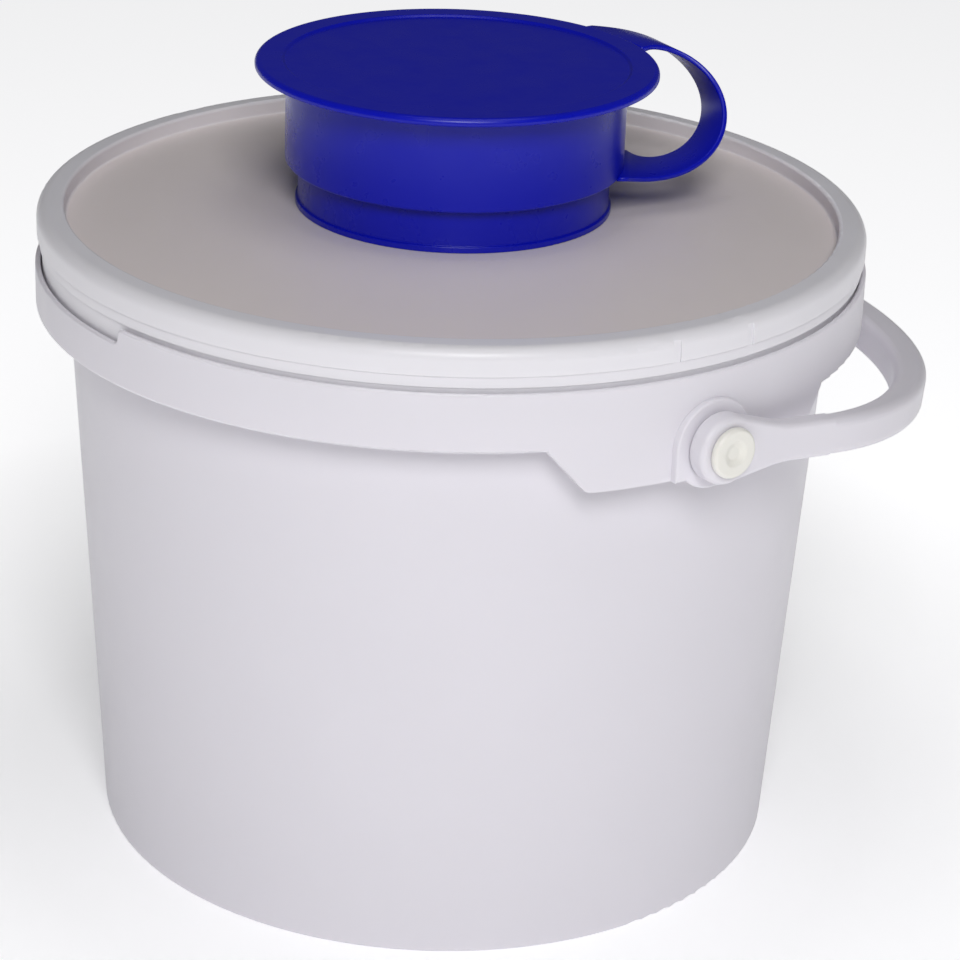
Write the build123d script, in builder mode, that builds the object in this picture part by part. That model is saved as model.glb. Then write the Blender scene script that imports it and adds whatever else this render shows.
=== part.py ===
from build123d import *
import os
from math import cos, radians, sin

# A round injection-moulded polypropylene pail with a press-on lid. A blue filler neck stands in the
# lid, closed by a plug cap on a strap, and a plastic bail swings on two snap-in pivot pins.
# The origin is the centre of the base, +Z is up. The bail's pivots lie on the Y axis, and the bail
# is lowered towards +X. Lengths are in millimetres and angles in degrees.

os.makedirs("parts", exist_ok=True)

# Pail: the wall is a cone, from the base to the collar and on to the web that carries the guard
BASE_R = 99.6
COLLAR_Z = 157.8
COLLAR_WALL_R = 108.3
WALL = 1.7
FLOOR = 2.2
FOOT_H = 3.0
FOOT_W = 3.2
FLOOR_CORNER_R = 4.0

# Rim, web and guard: the guard is the outer band that keeps fingers off the lid's edge
WEB_Z = 164.0
WEB = 1.6
GUARD_IN_R = 116.0
GUARD = 1.6
GUARD_R = GUARD_IN_R + GUARD
GUARD_TOP_Z = 174.1
GUARD_LIP_R = 0.7
RIM_IN_R = 110.9
RIM_R = 112.6
RIM_TOP_Z = 183.9

# The guard is lower over one stretch, where the lid is opened
NOTCH_Z = 169.8
NOTCH_START = 126.0
NOTCH_END = 186.4
NOTCH_CORNER_R = 1.8

# Apron and pad that carry each bail pivot
PIVOT_Z = 154.5
APRON_Z = 145.8
APRON_TOP_HALF = 46.0
APRON_HALF = 35.9
APRON_CORNER_R = 3.0
PAD_R = 12.4
PAD_FACE = 119.2
PAD_ROOT = 116.1
PAD_EDGE_R = 0.6
PIN_HOLE_R = 3.95

# Lid
LID_R = 117.0
LID_TOP_Z = 186.3
LID_WALL = 1.3
CREST_R = 109.2
BEAD_Z = 178.4
BEAD_STEP_R = 116.3
BEAD_STEP_Z = 175.2
SKIRT_R = 115.6
SKIRT_Z = 166.3
PLUG_Z = 176.0
PANEL_Z = 186.0
PANEL_EDGE_Z = 181.8
PANEL = 1.5
SEAT_R = 50.0
PANEL_BEND_R = 40.0
NECK_HOLE_R = 41.1
MARK_ANGLE = 6.0
MARK_W = 2.4
MARK_DEPTH = 0.5

# Blue neck, with the gasket and the nut that hold it under the lid
SPIGOT_R = 40.8
SPIGOT_BORE_R = 38.6
SPIGOT_Z = 172.0
NECK_R = 44.0
NECK_FOOT_R = 44.7
NECK_FOOT_H = 1.8
COLLAR_R = 47.7
NECK_STEP_Z = 198.3
NECK_BORE_R = 45.5
NECK_TOP_Z = 224.8
NECK_WALL = 2.2
GASKET = 1.2
GASKET_R = 47.0
NUT_IN_R = 40.9
NUT_R = 47.5
NUT_H = 6.8
NUT_LUG_R = 50.5
NUT_LUGS = 8
NUT_LUG_W = 9.0
NUT_CHAMFER = 0.6

# Blue plug cap
CAP_R = 56.4
CAP_Z = 225.0
CAP = 2.3
CAP_RIM_R = 48.0
CAP_RECESS = 0.7
CAP_PLUG_R = 45.0
CAP_PLUG_DEPTH = 8.0
CAP_PLUG_WALL = 1.8

# Strap: its middle line is an ellipse in height and distance from the neck's axis, and it also
# turns about that axis, because the cap sits turned from its moulded place
STRAP_MID_R = 58.3
STRAP_MID_Z = 211.4
STRAP_REACH = 19.7
STRAP_RISE = 14.5
STRAP_ROOT = -121.0
STRAP_TIP = 93.5
STRAP_ROOT_TURN = -38.0
STRAP_TIP_TURN = 0.0
STRAP_W = 18.0
STRAP_FLARE = 8.3
STRAP = 1.5
STRAP_SECTIONS = 9

# Bail and its pins
BAIL_DROP = 6.0
BAIL_REACH = 125.0
BAIL_STRAIGHT = 36.0
BAIL_H = 10.6
BAIL_ARM = 6.0
BAIL_GRIP = 10.2
BAIL_GRIP_START = 0.3
BAIL_EDGE_R = 2.4
BAIL_ARM_EDGE_R = 1.5
EYE_R = 9.5
EYE_BORE_R = 4.0
PIN_R = 3.92
PIN_HEAD_R = 6.9
PIN_HEAD = 1.9
PIN_DIMPLE_R = 3.0
PIN_BARB = 0.6
PIN_TIP = 112.0
PIN_SLOT = 1.2
PIN_GAP = 0.3
EYE_FACE = PAD_FACE + PIN_GAP
BAIL_HALF = EYE_FACE + BAIL_ARM / 2
PIN_HEAD_IN = EYE_FACE + BAIL_ARM + PIN_GAP

# Clearance above the seal ring, and how far a cut runs on past the face that it opens
SEAL_GAP = 0.05
OVERCUT = 0.5


def wall_r(z):
    """Outer radius of the pail's conical wall at height z."""
    return BASE_R + (COLLAR_WALL_R - BASE_R) * z / COLLAR_Z


def outline(corners, plane=Plane.XZ):
    """A flat face on a plane, from corners of x, y and corner radius."""
    with BuildSketch(plane) as face:
        with BuildLine():
            Polyline(*[(x, y) for x, y, rounding in corners], close=True)
        make_face()
        for x, y, rounding in corners:
            if rounding > 0:
                fillet(face.vertices().sort_by_distance((x, y))[0], radius=rounding)
    return face.sketch


def ring_sector(plane, inner, outer, start, end):
    """A sector of a flat ring on a plane, between two angles."""
    with BuildSketch(plane) as sector:
        with BuildLine():
            inside = CenterArc((0, 0), inner, start, end - start)
            outside = CenterArc((0, 0), outer, start, end - start)
            Line(inside @ 0, outside @ 0)
            Line(inside @ 1, outside @ 1)
        make_face()
    return sector.sketch


# Apron: a curved plate that hangs below the guard at a pivot, with slanted ends
with BuildPart() as apron:
    plate = [
        (-APRON_TOP_HALF, COLLAR_Z + GUARD, 0),
        (-APRON_TOP_HALF, COLLAR_Z, 0),
        (-APRON_HALF, APRON_Z, APRON_CORNER_R),
        (APRON_HALF, APRON_Z, APRON_CORNER_R),
        (APRON_TOP_HALF, COLLAR_Z, 0),
        (APRON_TOP_HALF, COLLAR_Z + GUARD, 0),
    ]
    extrude(outline(plate), amount=GUARD_R + GUARD)
    with BuildSketch(Plane.XY.offset(APRON_Z)):
        Circle(GUARD_R)
        Circle(GUARD_IN_R, mode=Mode.SUBTRACT)
    extrude(amount=COLLAR_Z + GUARD - APRON_Z, mode=Mode.INTERSECT)

# Pail: base, wall, web, rim and guard in one moulding
with BuildPart() as bucket_body:
    wall_section = [
        (0, FOOT_H, 0),
        (BASE_R - FOOT_W, FOOT_H, 0.4),
        (BASE_R - FOOT_W + 0.3, 0, 0.6),
        (BASE_R, 0, 1.6),
        (wall_r(WEB_Z), WEB_Z, 0.5),
        (GUARD_IN_R, WEB_Z, 0.4),
        (GUARD_IN_R, COLLAR_Z, 0.4),
        (GUARD_R, COLLAR_Z, 0.9),
        (GUARD_R, GUARD_TOP_Z, 0),
        (GUARD_IN_R, GUARD_TOP_Z, 0),
        (GUARD_IN_R, WEB_Z + WEB, 0.4),
        (RIM_R, WEB_Z + WEB, 0.4),
        (RIM_R, RIM_TOP_Z, 0.7),
        (RIM_IN_R, RIM_TOP_Z, 0.7),
        (RIM_IN_R, WEB_Z + 3 * WEB, 2.0),
        (wall_r(WEB_Z) - WALL, WEB_Z, 2.0),
        (wall_r(FOOT_H + FLOOR) - WALL, FOOT_H + FLOOR, FLOOR_CORNER_R),
        (0, FOOT_H + FLOOR, 0),
    ]
    revolve(outline(wall_section), axis=Axis.Z)
    notch = ring_sector(
        Plane.XY.offset(NOTCH_Z), GUARD_IN_R - OVERCUT, GUARD_R + OVERCUT, NOTCH_START, NOTCH_END
    )
    extrude(notch, amount=GUARD_TOP_Z - NOTCH_Z + OVERCUT, mode=Mode.SUBTRACT)
    notch_ends = bucket_body.edges().filter_by(GeomType.LINE).filter_by(Plane.XY)
    fillet(notch_ends, radius=NOTCH_CORNER_R)
    lips = bucket_body.edges().filter_by(GeomType.LINE, reverse=True)
    guard_lip = lips.filter_by_position(Axis.Z, NOTCH_Z - OVERCUT / 2, GUARD_TOP_Z + OVERCUT)
    fillet(guard_lip, radius=GUARD_LIP_R)
    add(apron.part)
    mirror(apron.part, about=Plane.XZ)
    for side in (1, -1):
        with BuildSketch(Plane.XZ.offset(side * PAD_ROOT)):
            with Locations((0, PIVOT_Z)):
                Circle(PAD_R)
            with Locations((0, (PIVOT_Z + APRON_Z) / 2)):
                Rectangle(2 * PAD_R, PIVOT_Z - APRON_Z)
        extrude(amount=side * (PAD_FACE - PAD_ROOT))
        pad_face = bucket_body.faces().sort_by(Axis.Y)[-1 if side < 0 else 0]
        fillet(pad_face.edges(), radius=PAD_EDGE_R)
        with BuildSketch(Plane.XZ.offset(side * PIN_TIP)):
            with Locations((0, PIVOT_Z)):
                Circle(PIN_HOLE_R)
        extrude(amount=side * (PAD_FACE - PIN_TIP + OVERCUT), mode=Mode.SUBTRACT)
bucket_body.part.label = "bucket_body"
export_step(bucket_body.part, "parts/bucket_body.step")

# Lid: a domed panel in a sunk groove, a crest that hooks over the rim, and a stepped skirt
with BuildPart() as lid:
    lid_section = [
        (NECK_HOLE_R, PANEL_Z, 0.4),
        (SEAT_R, PANEL_Z, PANEL_BEND_R),
        (CREST_R - LID_WALL, PANEL_EDGE_Z, 0.5),
        (CREST_R, PANEL_EDGE_Z, 0.5),
        (CREST_R, LID_TOP_Z, 0.9),
        (LID_R, LID_TOP_Z - 0.4, 3.4),
        (LID_R, BEAD_Z, 0.35),
        (BEAD_STEP_R, BEAD_Z, 0.2),
        (BEAD_STEP_R, BEAD_STEP_Z, 0.35),
        (SKIRT_R, BEAD_STEP_Z, 0.2),
        (SKIRT_R, SKIRT_Z, 0.5),
        (SKIRT_R - LID_WALL, SKIRT_Z, 0.5),
        (SKIRT_R - LID_WALL, BEAD_Z, 1.5),
        (LID_R - LID_WALL, BEAD_Z + 2 * LID_WALL, 1.5),
        (LID_R - LID_WALL, LID_TOP_Z - LID_WALL, 2.2),
        (CREST_R + LID_WALL, LID_TOP_Z - LID_WALL, 0.4),
        (CREST_R + LID_WALL, PLUG_Z, 0.5),
        (CREST_R, PLUG_Z, 0.5),
        (CREST_R, PANEL_EDGE_Z - PANEL, 0.4),
        (CREST_R - LID_WALL, PANEL_EDGE_Z - PANEL, 0.4),
        (SEAT_R, PANEL_Z - PANEL, PANEL_BEND_R),
        (NECK_HOLE_R, PANEL_Z - PANEL, 0.4),
    ]
    revolve(outline(lid_section), axis=Axis.Z)
    for middle in (90, 270):
        with BuildSketch(Plane.XY.offset(BEAD_Z - MARK_W)):
            with PolarLocations(LID_R, 2, middle - MARK_ANGLE, 4 * MARK_ANGLE):
                Rectangle(2 * MARK_DEPTH, MARK_W)
        extrude(amount=LID_TOP_Z, mode=Mode.SUBTRACT)
lid.part.label = "lid"
export_step(lid.part, "parts/lid.step")

# Seal ring in the lid's channel, just above the pail's rim
with BuildPart() as lid_seal:
    with BuildSketch(Plane.XY.offset(RIM_TOP_Z + PIN_GAP)):
        Circle(RIM_R + PIN_GAP)
        Circle(CREST_R + LID_WALL + PIN_GAP, mode=Mode.SUBTRACT)
    extrude(amount=LID_TOP_Z - LID_WALL - RIM_TOP_Z - PIN_GAP - SEAL_GAP)
lid_seal.part.label = "lid_seal"
export_step(lid_seal.part, "parts/lid_seal.step")

# Neck: a spigot through the lid, a narrow foot and a wider collar, open from end to end
with BuildPart() as neck:
    neck_section = [
        (SPIGOT_BORE_R, SPIGOT_Z, 0.6),
        (SPIGOT_R, SPIGOT_Z, 0.6),
        (SPIGOT_R, PANEL_Z, 0),
        (NECK_FOOT_R, PANEL_Z, 0.3),
        (NECK_FOOT_R, PANEL_Z + NECK_FOOT_H, 0.3),
        (NECK_R, PANEL_Z + NECK_FOOT_H, 0.2),
        (NECK_R, NECK_STEP_Z, 0.5),
        (COLLAR_R, NECK_STEP_Z, 0.9),
        (COLLAR_R, NECK_TOP_Z, 0.7),
        (NECK_BORE_R, NECK_TOP_Z, 0.7),
        (NECK_BORE_R, NECK_STEP_Z + NECK_WALL, 1.0),
        (NECK_R - NECK_WALL, NECK_STEP_Z - NECK_WALL, 1.0),
        (NECK_R - NECK_WALL, PANEL_Z + NECK_WALL, 0.8),
        (SPIGOT_BORE_R, PANEL_Z, 0.8),
    ]
    revolve(outline(neck_section), axis=Axis.Z)
neck.part.label = "neck"
export_step(neck.part, "parts/neck.step")

# Gasket between the lid's underside and the nut
with BuildPart() as neck_gasket:
    with BuildSketch(Plane.XY.offset(PANEL_Z - PANEL)):
        Circle(GASKET_R)
        Circle(NECK_HOLE_R, mode=Mode.SUBTRACT)
    extrude(amount=-GASKET)
neck_gasket.part.label = "neck_gasket"
export_step(neck_gasket.part, "parts/neck_gasket.step")

# Nut that holds the neck from below: its thread on the spigot isn't modelled
with BuildPart() as neck_nut:
    with BuildSketch(Plane.XY.offset(PANEL_Z - PANEL - GASKET)):
        Circle(NUT_R)
        with PolarLocations((NUT_R + NUT_LUG_R) / 2, NUT_LUGS):
            Rectangle(2 * (NUT_LUG_R - NUT_R), NUT_LUG_W)
        Circle(NUT_IN_R, mode=Mode.SUBTRACT)
    extrude(amount=-NUT_H)
    nut_bottom = neck_nut.faces().sort_by(Axis.Z)[0]
    chamfer(nut_bottom.outer_wire().edges(), length=NUT_CHAMFER)
neck_nut.part.label = "neck_nut"
export_step(neck_nut.part, "parts/neck_nut.step")

# Cap: a disc with a raised rim on top and a plug skirt that fits the neck's bore
with BuildPart() as cap:
    cap_section = [
        (0, CAP_Z, 0),
        (CAP_PLUG_R - CAP_PLUG_WALL, CAP_Z, 0.4),
        (CAP_PLUG_R - CAP_PLUG_WALL, CAP_Z - CAP_PLUG_DEPTH, 0.6),
        (CAP_PLUG_R, CAP_Z - CAP_PLUG_DEPTH, 1.0),
        (CAP_PLUG_R, CAP_Z, 0.4),
        (CAP_R, CAP_Z, 0.5),
        (CAP_R, CAP_Z + CAP, 1.5),
        (CAP_RIM_R + CAP_RECESS, CAP_Z + CAP, 0.6),
        (CAP_RIM_R, CAP_Z + CAP - CAP_RECESS, 0.6),
        (0, CAP_Z + CAP - CAP_RECESS, 0),
    ]
    revolve(outline(cap_section), axis=Axis.Z)
cap.part.label = "cap"
export_step(cap.part, "parts/cap.step")


def strap_station(share):
    """Plane and width of the strap's section, at a share of the way from the neck to the cap."""
    swing = radians(STRAP_ROOT + (STRAP_TIP - STRAP_ROOT) * share)
    turn = radians(STRAP_ROOT_TURN + (STRAP_TIP_TURN - STRAP_ROOT_TURN) * share)
    reach = STRAP_MID_R + STRAP_REACH * cos(swing)
    out = Vector(cos(turn), sin(turn), 0)
    across = Vector(-sin(turn), cos(turn), 0)
    place = out * reach + Vector(0, 0, STRAP_MID_Z + STRAP_RISE * sin(swing))
    along = out * (-STRAP_REACH * sin(swing)) + Vector(0, 0, STRAP_RISE * cos(swing))
    flare = STRAP_FLARE * (2 * share - 1) ** 8
    return Plane(origin=place, x_dir=across, z_dir=along), STRAP_W + flare


# Strap: a flat ribbon that loops out from the neck's collar and back to the cap's edge
with BuildPart() as cap_strap:
    for number in range(STRAP_SECTIONS):
        station, width = strap_station(number / (STRAP_SECTIONS - 1))
        with BuildSketch(station):
            RectangleRounded(width, STRAP, STRAP / 3)
    loft()
cap_strap.part.label = "cap_strap"
export_step(cap_strap.part, "parts/cap_strap.step")

# Bail: an eye at each end, straight arms beside the guard and a deep bow, in one moulding
bail_plane = Plane(
    origin=(0, 0, PIVOT_Z),
    x_dir=(cos(radians(BAIL_DROP)), 0, -sin(radians(BAIL_DROP))),
    z_dir=(sin(radians(BAIL_DROP)), 0, cos(radians(BAIL_DROP))),
)
with BuildPart() as bail_handle:
    for side in (1, -1):
        arm_plane = Plane(
            origin=(0, -side * EYE_FACE, PIVOT_Z), x_dir=bail_plane.x_dir, z_dir=(0, -side, 0)
        )
        arm_outline = [
            (0, -EYE_R, 0),
            (EYE_R + EYE_R, -BAIL_H / 2, BAIL_STRAIGHT),
            (BAIL_STRAIGHT, -BAIL_H / 2, 0),
            (BAIL_STRAIGHT, BAIL_H / 2, 0),
            (EYE_R + EYE_R, BAIL_H / 2, BAIL_STRAIGHT),
            (0, EYE_R, 0),
        ]
        extrude(outline(arm_outline, arm_plane), amount=BAIL_ARM)
        with BuildSketch(arm_plane):
            Circle(EYE_R)
        extrude(amount=BAIL_ARM)
    rims = bail_handle.edges().filter_by(Axis.Y, reverse=True)
    arm_ends = rims.group_by(Axis((0, 0, 0), tuple(bail_plane.x_dir)))[-1]
    fillet(rims - arm_ends, radius=BAIL_ARM_EDGE_R)
    with BuildLine(bail_plane) as bow:
        EllipticalCenterArc(
            (BAIL_STRAIGHT, 0), BAIL_REACH - BAIL_STRAIGHT, BAIL_HALF, start_angle=-90, arc_size=180
        )
    bow_sections = [
        (0, BAIL_ARM),
        (BAIL_GRIP_START, BAIL_GRIP),
        (1 - BAIL_GRIP_START, BAIL_GRIP),
        (1, BAIL_ARM),
    ]
    for share, thickness in bow_sections:
        station = Plane(origin=bow.line @ share, x_dir=bail_plane.z_dir, z_dir=bow.line % share)
        with BuildSketch(station):
            RectangleRounded(BAIL_H, thickness, BAIL_EDGE_R)
    sweep(path=bow.line, multisection=True)
    with BuildSketch(Plane.XZ):
        with Locations((0, PIVOT_Z)):
            Circle(EYE_BORE_R)
    extrude(amount=2 * EYE_FACE, both=True, mode=Mode.SUBTRACT)
bail_handle.part.label = "bail_handle"
export_step(bail_handle.part, "parts/bail_handle.step")

# Pivot pins: a dimpled head outside the eye, a shank through the pad, and a split barb behind it
pin_axis = Axis((0, 0, PIVOT_Z), (0, 1, 0))
for side, pin_name in ((1, "pivot_pin_front"), (-1, "pivot_pin_back")):
    with BuildPart() as pivot_pin:
        pin_section = [
            (PIN_TIP, 0, 0),
            (PIN_TIP, PIN_R - PIN_GAP, 0.3),
            (PIN_TIP + 2 * PIN_BARB, PIN_R + PIN_BARB, 0.2),
            (GUARD_IN_R - PIN_GAP, PIN_R + PIN_BARB, 0.2),
            (GUARD_IN_R - PIN_GAP, PIN_R, 0),
            (PIN_HEAD_IN, PIN_R, 0),
            (PIN_HEAD_IN, PIN_HEAD_R, 0.3),
            (PIN_HEAD_IN + PIN_HEAD, PIN_HEAD_R, 1.0),
            (PIN_HEAD_IN + PIN_HEAD, PIN_DIMPLE_R + PIN_BARB, 1.0),
            (PIN_HEAD_IN + PIN_HEAD / 2, PIN_DIMPLE_R - 2 * PIN_BARB, 1.0),
            (PIN_HEAD_IN + PIN_HEAD / 2, 0, 0),
        ]
        pin_plane = Plane(origin=(0, 0, PIVOT_Z), x_dir=(0, -side, 0), z_dir=(1, 0, 0))
        revolve(outline(pin_section, pin_plane), axis=pin_axis)
        with BuildSketch(Plane.XZ.offset(side * (PIN_TIP - PIN_GAP))):
            with Locations((0, PIVOT_Z)):
                Rectangle(PIN_SLOT, 4 * PIN_R)
        extrude(amount=side * (GUARD_IN_R - PIN_TIP), mode=Mode.SUBTRACT)
    pivot_pin.part.label = pin_name
    export_step(pivot_pin.part, f"parts/{pin_name}.step")
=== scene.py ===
"""A lidded plastic pail with a capped blue neck, given its finishes and set on a plain stage."""

import math

import bmesh
import bpy
from bpy.props import FloatProperty, FloatVectorProperty, IntProperty, PointerProperty
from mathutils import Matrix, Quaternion, Vector


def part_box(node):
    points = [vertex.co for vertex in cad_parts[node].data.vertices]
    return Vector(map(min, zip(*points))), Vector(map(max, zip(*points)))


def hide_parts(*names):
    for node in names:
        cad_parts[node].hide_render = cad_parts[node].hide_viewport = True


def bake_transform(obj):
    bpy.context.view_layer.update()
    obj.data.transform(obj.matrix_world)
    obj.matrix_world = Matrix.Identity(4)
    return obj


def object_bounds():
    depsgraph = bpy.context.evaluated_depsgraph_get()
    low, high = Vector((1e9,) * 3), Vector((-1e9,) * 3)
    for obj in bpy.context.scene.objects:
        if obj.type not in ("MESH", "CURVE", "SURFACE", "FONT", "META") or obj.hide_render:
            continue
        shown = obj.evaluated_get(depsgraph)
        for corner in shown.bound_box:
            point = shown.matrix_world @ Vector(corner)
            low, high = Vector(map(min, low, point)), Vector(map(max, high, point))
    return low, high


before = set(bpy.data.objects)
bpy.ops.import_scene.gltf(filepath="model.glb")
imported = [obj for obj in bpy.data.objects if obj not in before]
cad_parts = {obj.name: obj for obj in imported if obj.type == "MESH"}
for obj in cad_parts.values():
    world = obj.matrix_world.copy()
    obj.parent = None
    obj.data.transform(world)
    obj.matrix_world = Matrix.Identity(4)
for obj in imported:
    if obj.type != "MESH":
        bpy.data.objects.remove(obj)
CAD_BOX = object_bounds()

bl_info = {
    "name": "Lidded pail",
    "version": (1, 0, 0),
    "blender": (4, 5, 0),
    "location": "View3D > Sidebar > Pail",
    "description": "Finishes a lidded pail with a strapped cap, and sets it on a stage",
    "category": "Object",
}

MM = 0.001
WORLD_STRENGTH = 0.08
# Each softbox: degrees round from the camera, degrees up, distance and side in metres, power in watts
KEY_SOFTBOX = (4, 38, 2.6, 0.9, 35)
TOP_SOFTBOX = (30, 78, 1.5, 0.8, 3.6)
# The floor's own light grows from the pail's foot outwards, which keeps the shadow faint
FLOOR_GLOW_NEAR_R = 0.13
FLOOR_GLOW_FAR_R = 0.3
FLOOR_GLOW_NEAR = 0.38
FLOOR_GLOW_FAR = 0.7
FLOOR_SEGMENTS = 96
RIM_BLEND = 0.9 * MM
STRAP_STANDOFF = 0.7 * MM
STRAP_BURIED_STEP = 1.1 * MM
STRAP_BURIED_STATIONS = 2
STRAP_CORNER_SHARE = 0.7
CORNER_STEPS = 4


def linear(hex_colour):
    """Linear red, green and blue of an sRGB hex colour."""
    shares = [int(hex_colour[i : i + 2], 16) / 255 for i in (1, 3, 5)]
    return [s / 12.92 if s <= 0.04045 else ((s + 0.055) / 1.055) ** 2.4 for s in shares]


def add(tree, kind, settings=None, links=None):
    """Add a node to a tree, with its settings by name and its links by input name."""
    node = tree.nodes.new(kind)
    for name, value in (settings or {}).items():
        if name in node.inputs:
            node.inputs[name].default_value = value
        else:
            setattr(node, name, value)
    for name, source in (links or {}).items():
        tree.links.new(source, node.inputs[name])
    return node


class PailFinish(bpy.types.PropertyGroup):
    """Colours and surface of the mouldings."""

    pail_white: FloatVectorProperty(
        name="Pail white",
        description="Pigmented white of the pail and bail",
        subtype="COLOR",
        default=linear("#E1DEE5"),
    )
    rim_white: FloatVectorProperty(
        name="Rim white",
        description="Brighter white of the lid's thick rim",
        subtype="COLOR",
        default=linear("#E6E4E9"),
    )
    lid_natural: FloatVectorProperty(
        name="Lid panel",
        description="Unpigmented panel of the lid, which the hollow pail shows through",
        subtype="COLOR",
        default=linear("#E4DBD9"),
    )
    cap_blue: FloatVectorProperty(
        name="Cap blue",
        description="Deep blue of the neck, strap and cap",
        subtype="COLOR",
        default=linear("#0812B0"),
    )
    pin_white: FloatVectorProperty(
        name="Pin white",
        description="Warm off-white of the pivot pins",
        subtype="COLOR",
        default=linear("#EBE9E2"),
    )
    seal_grey: FloatVectorProperty(
        name="Seal grey",
        description="Grey of the seal ring and gasket",
        subtype="COLOR",
        default=linear("#B4B2AE"),
    )
    grain: FloatProperty(
        name="Grain",
        description="Size of the mould's fine skin texture",
        subtype="DISTANCE",
        unit="LENGTH",
        default=1.4 * MM,
    )
    wave: FloatProperty(
        name="Wave",
        description="Length of the slow waves that shrinkage leaves in the walls",
        subtype="DISTANCE",
        unit="LENGTH",
        default=38 * MM,
    )
    rim_width: FloatProperty(
        name="Lid rim width",
        description="Width of the lid's thick white rim, from its outer edge inwards",
        subtype="DISTANCE",
        unit="LENGTH",
        default=7.9 * MM,
    )


class PailStrap(bpy.types.PropertyGroup):
    """Size and path of the strap between the neck and the cap."""

    width: FloatProperty(
        name="Width", description="Width of the ribbon", unit="LENGTH", default=18 * MM
    )
    flare: FloatProperty(
        name="Flare", description="Extra width where the ribbon joins", unit="LENGTH", default=8.3 * MM
    )
    thickness: FloatProperty(
        name="Thickness", description="Thickness of the ribbon", unit="LENGTH", default=1.5 * MM
    )
    loop: FloatProperty(
        name="Loop",
        description="Half the loop's width, out from the neck",
        unit="LENGTH",
        default=19.7 * MM,
    )
    root_swing: FloatProperty(
        name="Root swing",
        description="Place of the root on the loop",
        subtype="ANGLE",
        default=math.radians(-121),
    )
    tip_swing: FloatProperty(
        name="Tip swing",
        description="Place of the tip on the loop",
        subtype="ANGLE",
        default=math.radians(93.5),
    )
    root_turn: FloatProperty(
        name="Root turn",
        description="Where the root stands round the neck",
        subtype="ANGLE",
        default=math.radians(-38.0),
    )
    tip_turn: FloatProperty(
        name="Tip turn",
        description="Where the tip stands round the neck",
        subtype="ANGLE",
        default=math.radians(0),
    )
    stations: IntProperty(name="Stations", description="Sections along the ribbon", default=72)


class PailStage(bpy.types.PropertyGroup):
    """Camera, lights and floor."""

    azimuth: FloatProperty(
        name="Azimuth",
        description="Camera's place round the pail",
        subtype="ANGLE",
        default=math.radians(-36),
    )
    elevation: FloatProperty(
        name="Elevation",
        description="Camera's height angle",
        subtype="ANGLE",
        default=math.radians(23.675),
    )
    distance: FloatProperty(
        name="Distance", description="Camera to aim point", unit="LENGTH", default=0.9284
    )
    aim_height: FloatProperty(
        name="Aim height", description="Height of the aim point", unit="LENGTH", default=93.64 * MM
    )
    lens: FloatProperty(name="Lens", description="Focal length in millimetres", default=118.05)
    roll: FloatProperty(
        name="Roll", description="Camera's roll", subtype="ANGLE", default=math.radians(1.936)
    )
    pan: FloatProperty(
        name="Pan",
        description="Turn to the right of the aim point",
        subtype="ANGLE",
        default=math.radians(0.676),
    )
    tilt: FloatProperty(
        name="Tilt",
        description="Turn above the aim point",
        subtype="ANGLE",
        default=math.radians(0.366),
    )
    backdrop: FloatVectorProperty(
        name="Backdrop",
        description="Pale floor and surround",
        subtype="COLOR",
        default=linear("#F2F2F3"),
    )
    floor_radius: FloatProperty(
        name="Floor radius", description="Radius of the floor", unit="LENGTH", default=6.0
    )


def moulded_polypropylene(name, colour, roughness, glow, deep=None, shine=0.5):
    """Injection-moulded polypropylene, pigmented: a waxy satin skin with soft, wide highlights.

    The mould's texture breaks the highlight up finely, shrinkage leaves slow waves in the walls, and
    the colour drifts by a shade from place to place, because the pigment never mixes quite evenly.
    """
    finish = bpy.context.scene.pail_finish
    material = bpy.data.materials.new(name)
    material.use_nodes = True
    tree = material.node_tree
    tree.nodes.clear()
    place = add(tree, "ShaderNodeTexCoord").outputs["Object"]
    drift = add(
        tree, "ShaderNodeTexNoise", {"Scale": 1 / finish.wave, "Detail": 2.0}, {"Vector": place}
    )
    dark = [part * 0.965 for part in colour]
    tint = add(
        tree,
        "ShaderNodeMixRGB",
        {"Color1": (*dark, 1), "Color2": (*colour, 1)},
        {"Fac": drift.outputs["Fac"]},
    )
    polish = add(
        tree, "ShaderNodeTexNoise", {"Scale": 4 / finish.wave, "Detail": 4.0}, {"Vector": place}
    )
    sheen = add(
        tree,
        "ShaderNodeMapRange",
        {"From Min": 0.3, "From Max": 0.7, "To Min": roughness - 0.05, "To Max": roughness + 0.05},
        {"Value": polish.outputs["Fac"]},
    )
    grain = add(
        tree, "ShaderNodeTexNoise", {"Scale": 1 / finish.grain, "Detail": 2.0}, {"Vector": place}
    )
    skin = add(
        tree,
        "ShaderNodeBump",
        {"Strength": 0.15, "Distance": finish.grain / 60},
        {"Height": grain.outputs["Fac"]},
    )
    waves = add(
        tree,
        "ShaderNodeBump",
        {"Strength": 0.3, "Distance": finish.wave / 120},
        {"Height": drift.outputs["Fac"], "Normal": skin.outputs["Normal"]},
    )
    colour_out = tint.outputs["Color"] if deep is None else deep(tree, place, tint.outputs["Color"])
    shader = add(
        tree,
        "ShaderNodeBsdfPrincipled",
        {
            "IOR": 1.49,
            "Specular IOR Level": shine,
            "Subsurface Weight": glow,
            "Subsurface Radius": (1.0, 0.95, 0.9),
            "Subsurface Scale": 2.5 * MM,
        },
        {
            "Base Color": colour_out,
            "Roughness": sheen.outputs["Result"],
            "Normal": waves.outputs["Normal"],
        },
    )
    add(tree, "ShaderNodeOutputMaterial", None, {"Surface": shader.outputs["BSDF"]})
    return material


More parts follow.
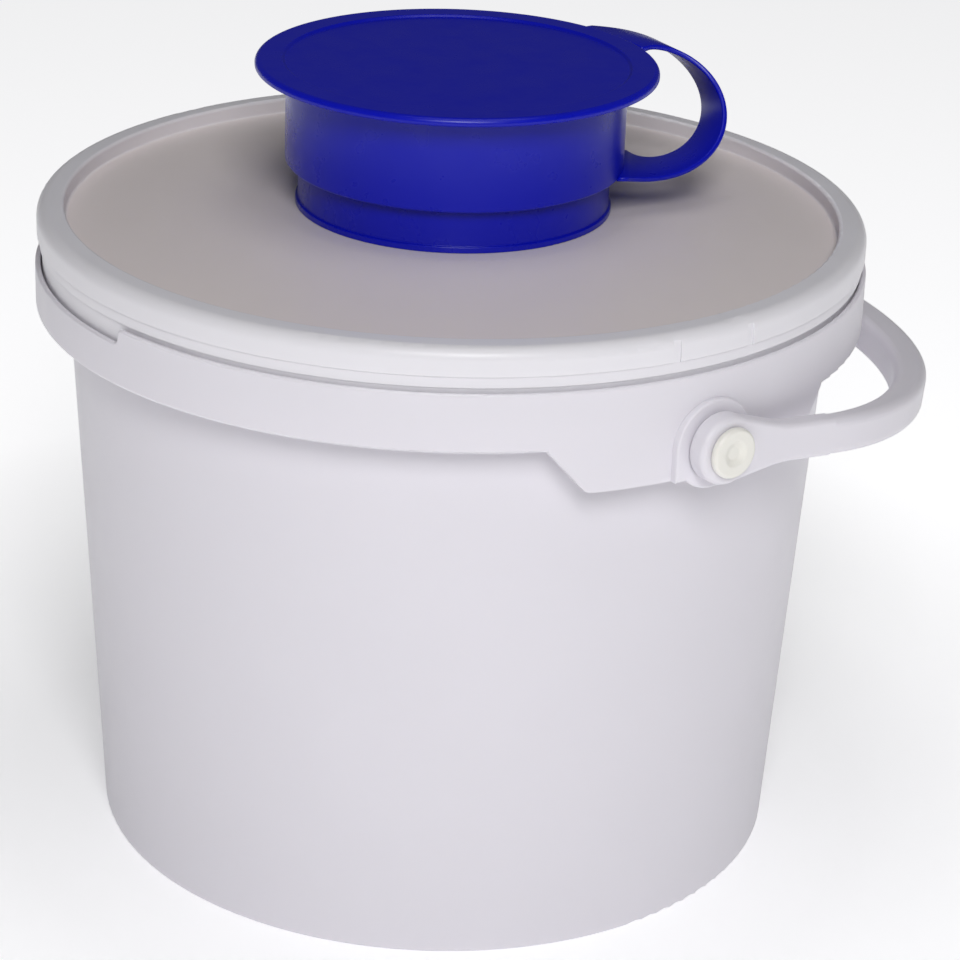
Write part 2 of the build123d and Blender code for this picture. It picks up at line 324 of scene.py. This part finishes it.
def natural_panel(tree, place, white):
    """The lid's thin panel is unpigmented to the eye: greyer and warmer inside the thick white rim."""
    finish = bpy.context.scene.pail_finish
    low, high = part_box("lid")
    crest = (high.x - low.x) / 2 - finish.rim_width
    flat = add(
        tree, "ShaderNodeVectorMath", {"operation": "MULTIPLY"}, {0: place}
    )
    flat.inputs[1].default_value = (1, 1, 0)
    reach = add(tree, "ShaderNodeVectorMath", {"operation": "LENGTH"}, {0: flat.outputs["Vector"]})
    share = add(
        tree,
        "ShaderNodeMapRange",
        {"From Min": crest - RIM_BLEND, "From Max": crest + RIM_BLEND},
        {"Value": reach.outputs["Value"]},
    )
    mixed = add(
        tree,
        "ShaderNodeMixRGB",
        {"Color1": (*finish.lid_natural, 1)},
        {"Fac": share.outputs["Result"], "Color2": white},
    )
    return mixed.outputs["Color"]


def moulded_elastomer(name, colour):
    """Moulded soft elastomer: almost no highlight, with the faint dust that its tacky skin holds."""
    material = bpy.data.materials.new(name)
    material.use_nodes = True
    tree = material.node_tree
    tree.nodes.clear()
    place = add(tree, "ShaderNodeTexCoord").outputs["Object"]
    dust = add(tree, "ShaderNodeTexNoise", {"Scale": 1 / (2 * MM), "Detail": 5.0}, {"Vector": place})
    pale = [min(1, part * 1.15) for part in colour]
    tint = add(
        tree,
        "ShaderNodeMixRGB",
        {"Color1": (*colour, 1), "Color2": (*pale, 1)},
        {"Fac": dust.outputs["Fac"]},
    )
    shader = add(
        tree,
        "ShaderNodeBsdfPrincipled",
        {"Roughness": 0.75, "IOR": 1.41},
        {"Base Color": tint.outputs["Color"]},
    )
    add(tree, "ShaderNodeOutputMaterial", None, {"Surface": shader.outputs["BSDF"]})
    return material


def dress(names, material):
    """Give CAD nodes a finish in place of their plain one."""
    for name in names:
        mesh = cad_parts[name].data
        mesh.materials.clear()
        mesh.materials.append(material)


def blue_polypropylene():
    """The blue moulding's finish, made once and shared by the neck, strap and cap."""
    name = "moulded_polypropylene_blue"
    finish = bpy.context.scene.pail_finish
    return bpy.data.materials.get(name) or moulded_polypropylene(
        name, finish.cap_blue, 0.3, 0.0, shine=0.3
    )


def white_polypropylene():
    """The white moulding's finish, made once and shared by the pail and its bail."""
    name = "moulded_polypropylene_white"
    finish = bpy.context.scene.pail_finish
    return bpy.data.materials.get(name) or moulded_polypropylene(name, finish.pail_white, 0.42, 0.2)


class PAIL_OT_body(bpy.types.Operator):
    """Finish the pail's own moulding"""

    bl_idname = "pail.body"
    bl_label = "Pail body"

    def execute(self, context):
        dress(["bucket_body"], white_polypropylene())
        return {"FINISHED"}


class PAIL_OT_lid(bpy.types.Operator):
    """Finish the lid, with its natural panel and white rim, and the seal under it"""

    bl_idname = "pail.lid"
    bl_label = "Lid and seal"

    def execute(self, context):
        finish = context.scene.pail_finish
        lid = moulded_polypropylene(
            "moulded_polypropylene_lid", finish.rim_white, 0.38, 0.2, deep=natural_panel
        )
        dress(["lid"], lid)
        seal = moulded_elastomer("moulded_elastomer_grey", finish.seal_grey)
        dress(["lid_seal", "neck_gasket"], seal)
        return {"FINISHED"}


class PAIL_OT_neck(bpy.types.Operator):
    """Finish the neck and the nut that holds it"""

    bl_idname = "pail.neck"
    bl_label = "Neck and nut"

    def execute(self, context):
        dress(["neck", "neck_nut"], blue_polypropylene())
        return {"FINISHED"}


class PAIL_OT_cap(bpy.types.Operator):
    """Finish the plug cap"""

    bl_idname = "pail.cap"
    bl_label = "Cap"

    def execute(self, context):
        dress(["cap"], blue_polypropylene())
        return {"FINISHED"}


def strap_section(settings, share, middle, rise, reach_out):
    """Middle, width direction and thickness direction of the ribbon at a share of its length."""
    swing = settings.root_swing + (settings.tip_swing - settings.root_swing) * share
    turn = settings.root_turn + (settings.tip_turn - settings.root_turn) * share
    out = Vector((math.cos(turn), math.sin(turn), 0))
    across = Vector((-math.sin(turn), math.cos(turn), 0))
    reach = middle[0] + settings.loop * math.cos(swing) + reach_out
    place = out * reach + Vector((0, 0, middle[1] + rise * math.sin(swing)))
    along = out * (-settings.loop * math.sin(swing)) + Vector((0, 0, rise * math.cos(swing)))
    return place, across, along.normalized().cross(across)


class PAIL_OT_strap(bpy.types.Operator):
    """Build the strap as one smooth ribbon that runs into the neck and the cap's edge"""

    bl_idname = "pail.strap"
    bl_label = "Strap"

    def execute(self, context):
        settings = context.scene.pail_strap
        low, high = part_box("cap_strap")
        cap_low, cap_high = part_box("cap")
        half = settings.thickness / 2
        height = (low.z + high.z) / 2
        rise = (high.z - low.z) / 2 - half
        cap_radius = (cap_high.x - cap_low.x) / 2
        middle_reach = cap_radius + STRAP_STANDOFF - settings.loop * math.cos(settings.tip_swing)
        corner = half * STRAP_CORNER_SHARE
        work = bmesh.new()
        rings = []
        for number in range(-STRAP_BURIED_STATIONS, settings.stations + STRAP_BURIED_STATIONS + 1):
            share = min(max(number / settings.stations, 0), 1)
            past_end = abs(number / settings.stations - share) * settings.stations
            buried = STRAP_BURIED_STEP * past_end
            place, across, thick = strap_section(settings, share, (middle_reach, height), rise, -buried)
            width = settings.width + settings.flare * (2 * share - 1) ** 8
            ring = []
            for quarter, (side, face) in enumerate(((1, 1), (-1, 1), (-1, -1), (1, -1))):
                for step in range(CORNER_STEPS):
                    angle = math.pi / 2 * (quarter + step / (CORNER_STEPS - 1))
                    x = side * (width / 2 - corner) + corner * math.cos(angle)
                    y = face * (half - corner) + corner * math.sin(angle)
                    ring.append(work.verts.new(place + across * x + thick * y))
            rings.append(ring)
        for first, second in zip(rings, rings[1:]):
            for i, (a, b) in enumerate(zip(first, first[1:] + first[:1])):
                j = (i + 1) % len(second)
                work.faces.new((a, b, second[j], second[i]))
        work.faces.new(reversed(rings[0]))
        work.faces.new(rings[-1])
        bmesh.ops.recalc_face_normals(work, faces=work.faces)
        for face in work.faces:
            face.smooth = True
        mesh = bpy.data.meshes.new("strap_ribbon")
        work.to_mesh(mesh)
        work.free()
        strap = bpy.data.objects.new("strap_ribbon", mesh)
        context.scene.collection.objects.link(strap)
        mesh.materials.append(blue_polypropylene())
        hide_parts("cap_strap")
        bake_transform(strap)
        return {"FINISHED"}


class PAIL_OT_bail(bpy.types.Operator):
    """Finish the bail and its pivot pins"""

    bl_idname = "pail.bail"
    bl_label = "Bail and pins"

    def execute(self, context):
        finish = context.scene.pail_finish
        dress(["bail_handle"], white_polypropylene())
        # Moulded nylon: slightly glossier and warmer than the polypropylene round it.
        pins = moulded_polypropylene("moulded_nylon_pin", finish.pin_white, 0.3, 0.3)
        dress(["pivot_pin_front", "pivot_pin_back"], pins)
        return {"FINISHED"}


def painted_floor(colour):
    """Matt painted board, lit a little from below so that the pail's shadow stays faint."""
    material = bpy.data.materials.new("matt_painted_board")
    material.use_nodes = True
    tree = material.node_tree
    shader = tree.nodes["Principled BSDF"]
    shader.inputs["Base Color"].default_value = (*colour, 1)
    shader.inputs["Roughness"].default_value = 0.9
    shader.inputs["Specular IOR Level"].default_value = 0.1
    shader.inputs["Emission Color"].default_value = (*colour, 1)
    place = add(tree, "ShaderNodeTexCoord").outputs["Object"]
    reach = add(tree, "ShaderNodeVectorMath", {"operation": "LENGTH"}, {0: place})
    glow = add(
        tree,
        "ShaderNodeMapRange",
        {
            "From Min": FLOOR_GLOW_NEAR_R,
            "From Max": FLOOR_GLOW_FAR_R,
            "To Min": FLOOR_GLOW_NEAR,
            "To Max": FLOOR_GLOW_FAR,
        },
        {"Value": reach.outputs["Value"]},
    )
    tree.links.new(glow.outputs["Result"], shader.inputs["Emission Strength"])
    return material


def softbox(context, name, azimuth, elevation, distance, size, power):
    """A square soft light that points at the pail's middle, placed by angles in degrees."""
    low, high = CAD_BOX
    aim = (low + high) / 2
    turn, lift = math.radians(azimuth), math.radians(elevation)
    way = Vector((math.sin(turn) * math.cos(lift), -math.cos(turn) * math.cos(lift), math.sin(lift)))
    light = bpy.data.lights.new(name, "AREA")
    light.size = size
    light.energy = power
    lamp = bpy.data.objects.new(name, light)
    lamp.location = aim + way * distance
    lamp.rotation_mode = "QUATERNION"
    lamp.rotation_quaternion = (-way).to_track_quat("-Z", "Y")
    context.scene.collection.objects.link(lamp)
    return lamp


class PAIL_OT_stage(bpy.types.Operator):
    """Set up the floor, the soft lights and the camera"""

    bl_idname = "pail.stage"
    bl_label = "Stage"

    def execute(self, context):
        scene = context.scene
        stage = scene.pail_stage
        scene.view_settings.view_transform = "Standard"
        work = bmesh.new()
        bmesh.ops.create_circle(work, cap_ends=True, segments=FLOOR_SEGMENTS, radius=stage.floor_radius)
        mesh = bpy.data.meshes.new("floor")
        work.to_mesh(mesh)
        work.free()
        floor = bpy.data.objects.new("floor", mesh)
        scene.collection.objects.link(floor)
        mesh.materials.append(painted_floor(stage.backdrop))
        world = bpy.data.worlds.new("surround")
        world.use_nodes = True
        sky = world.node_tree.nodes["Background"]
        sky.inputs["Color"].default_value = (*stage.backdrop, 1)
        sky.inputs["Strength"].default_value = WORLD_STRENGTH
        scene.world = world
        face = math.degrees(stage.azimuth)
        softbox(context, "key_softbox", face + KEY_SOFTBOX[0], *KEY_SOFTBOX[1:])
        softbox(context, "top_softbox", face + TOP_SOFTBOX[0], *TOP_SOFTBOX[1:])
        self.place_camera(scene, stage)
        return {"FINISHED"}

    def place_camera(self, scene, stage):
        """Aim the camera at a point on the pail's axis, then roll and pan it a little."""
        level = math.cos(stage.elevation)
        back = Vector(
            (
                math.sin(stage.azimuth) * level,
                -math.cos(stage.azimuth) * level,
                math.sin(stage.elevation),
            )
        )
        lens = bpy.data.cameras.new("camera")
        lens.lens = stage.lens
        camera = bpy.data.objects.new("camera", lens)
        camera.location = Vector((0, 0, stage.aim_height)) + back * stage.distance
        camera.rotation_mode = "QUATERNION"
        aimed = (-back).to_track_quat("-Z", "Y")
        rolled = aimed @ Quaternion((0, 0, 1), stage.roll)
        panned = rolled @ Quaternion((0, 1, 0), -stage.pan)
        camera.rotation_quaternion = panned @ Quaternion((1, 0, 0), stage.tilt)
        scene.collection.objects.link(camera)
        scene.camera = camera


class PAIL_PT_sidebar(bpy.types.Panel):
    """Lists the steps that finish the pail"""

    bl_idname = "PAIL_PT_sidebar"
    bl_label = "Lidded pail"
    bl_space_type = "VIEW_3D"
    bl_region_type = "UI"
    bl_category = "Pail"

    def draw(self, context):
        for step in STEPS:
            self.layout.operator(step.bl_idname)
        for settings in (context.scene.pail_finish, context.scene.pail_strap, context.scene.pail_stage):
            box = self.layout.box()
            for name in settings.__annotations__:
                box.prop(settings, name)


STEPS = (
    PAIL_OT_body,
    PAIL_OT_lid,
    PAIL_OT_neck,
    PAIL_OT_cap,
    PAIL_OT_strap,
    PAIL_OT_bail,
    PAIL_OT_stage,
)
CLASSES = (PailFinish, PailStrap, PailStage, *STEPS, PAIL_PT_sidebar)


def register():
    """Register the classes and hang their settings on the scene."""
    for kind in CLASSES:
        bpy.utils.register_class(kind)
    bpy.types.Scene.pail_finish = PointerProperty(type=PailFinish)
    bpy.types.Scene.pail_strap = PointerProperty(type=PailStrap)
    bpy.types.Scene.pail_stage = PointerProperty(type=PailStage)


def unregister():
    """Take the settings and the classes away again."""
    del bpy.types.Scene.pail_stage
    del bpy.types.Scene.pail_strap
    del bpy.types.Scene.pail_finish
    for kind in reversed(CLASSES):
        bpy.utils.unregister_class(kind)


def main():
    """Run every step in order."""
    register()
    bpy.ops.pail.body()
    bpy.ops.pail.lid()
    bpy.ops.pail.neck()
    bpy.ops.pail.cap()
    bpy.ops.pail.strap()
    bpy.ops.pail.bail()
    bpy.ops.pail.stage()


if __name__ == "__main__":
    main()
